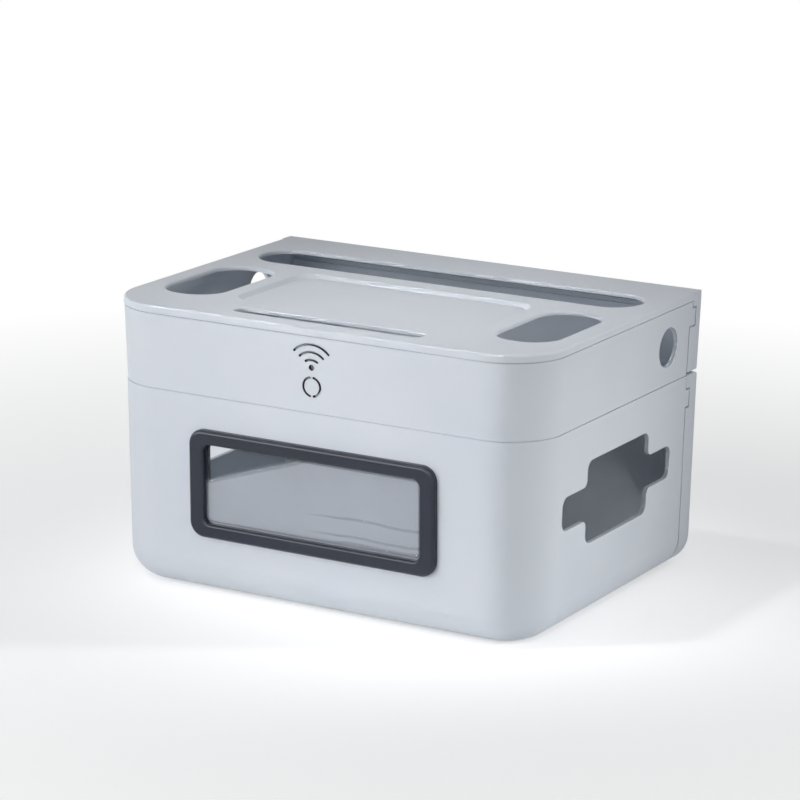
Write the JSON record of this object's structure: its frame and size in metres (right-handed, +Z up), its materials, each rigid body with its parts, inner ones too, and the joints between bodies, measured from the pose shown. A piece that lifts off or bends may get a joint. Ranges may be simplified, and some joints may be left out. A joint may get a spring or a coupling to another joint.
{
  "type": "cable management box",
  "caption": "Tiered cable box: windowed lower box with side outlets, router tray with cable holes, pull-off rear covers and a slotted lift-off lid.",
  "frame": {"origin": "on the floor, under the middle of the box's bounding box", "axes": "+X along the box's width, to its right as seen from the front; +Y from the windowed front to the back; +Z up"},
  "size_m": [0.294, 0.2182, 0.1752],
  "materials": {
    "shell_plastic": "satin light grey",
    "frame_plastic": "satin dark slate grey",
    "clear_plastic": "clear polished",
    "screw_steel": "zinc plated",
    "foot_rubber": "matt black"
  },
  "bodies": {
    "base": {"lower_box": "shell_plastic", "window_bezel": "frame_plastic", "window_pane": "clear_plastic", "window_retainer": "frame_plastic", "retainer_screws": "screw_steel", "foot_front_left": "foot_rubber", "foot_front_right": "foot_rubber", "foot_rear_left": "foot_rubber", "foot_rear_right": "foot_rubber"},
    "router_tier": {"router_tray": "shell_plastic"},
    "lid": {"lid_panel": "shell_plastic"},
    "upper_cover": {"upper_rear_panel": "shell_plastic"},
    "lower_cover": {"lower_rear_panel": "shell_plastic"}
  },
  "joints": [
    {"name": "tier_lift", "type": "slide", "parent": "base", "child": "router_tier", "axis": [0, 0, 1], "range_m": [0, 0.08]},
    {"name": "lid_lift", "type": "slide", "parent": "router_tier", "child": "lid", "axis": [0, 0, 1], "range_m": [0, 0.06]},
    {"name": "upper_cover_slide", "type": "slide", "parent": "router_tier", "child": "upper_cover", "axis": [0, 1, 0], "range_m": [0, 0.04]},
    {"name": "lower_cover_slide", "type": "slide", "parent": "base", "child": "lower_cover", "axis": [0, 1, 0], "range_m": [0, 0.04]}
  ]
}
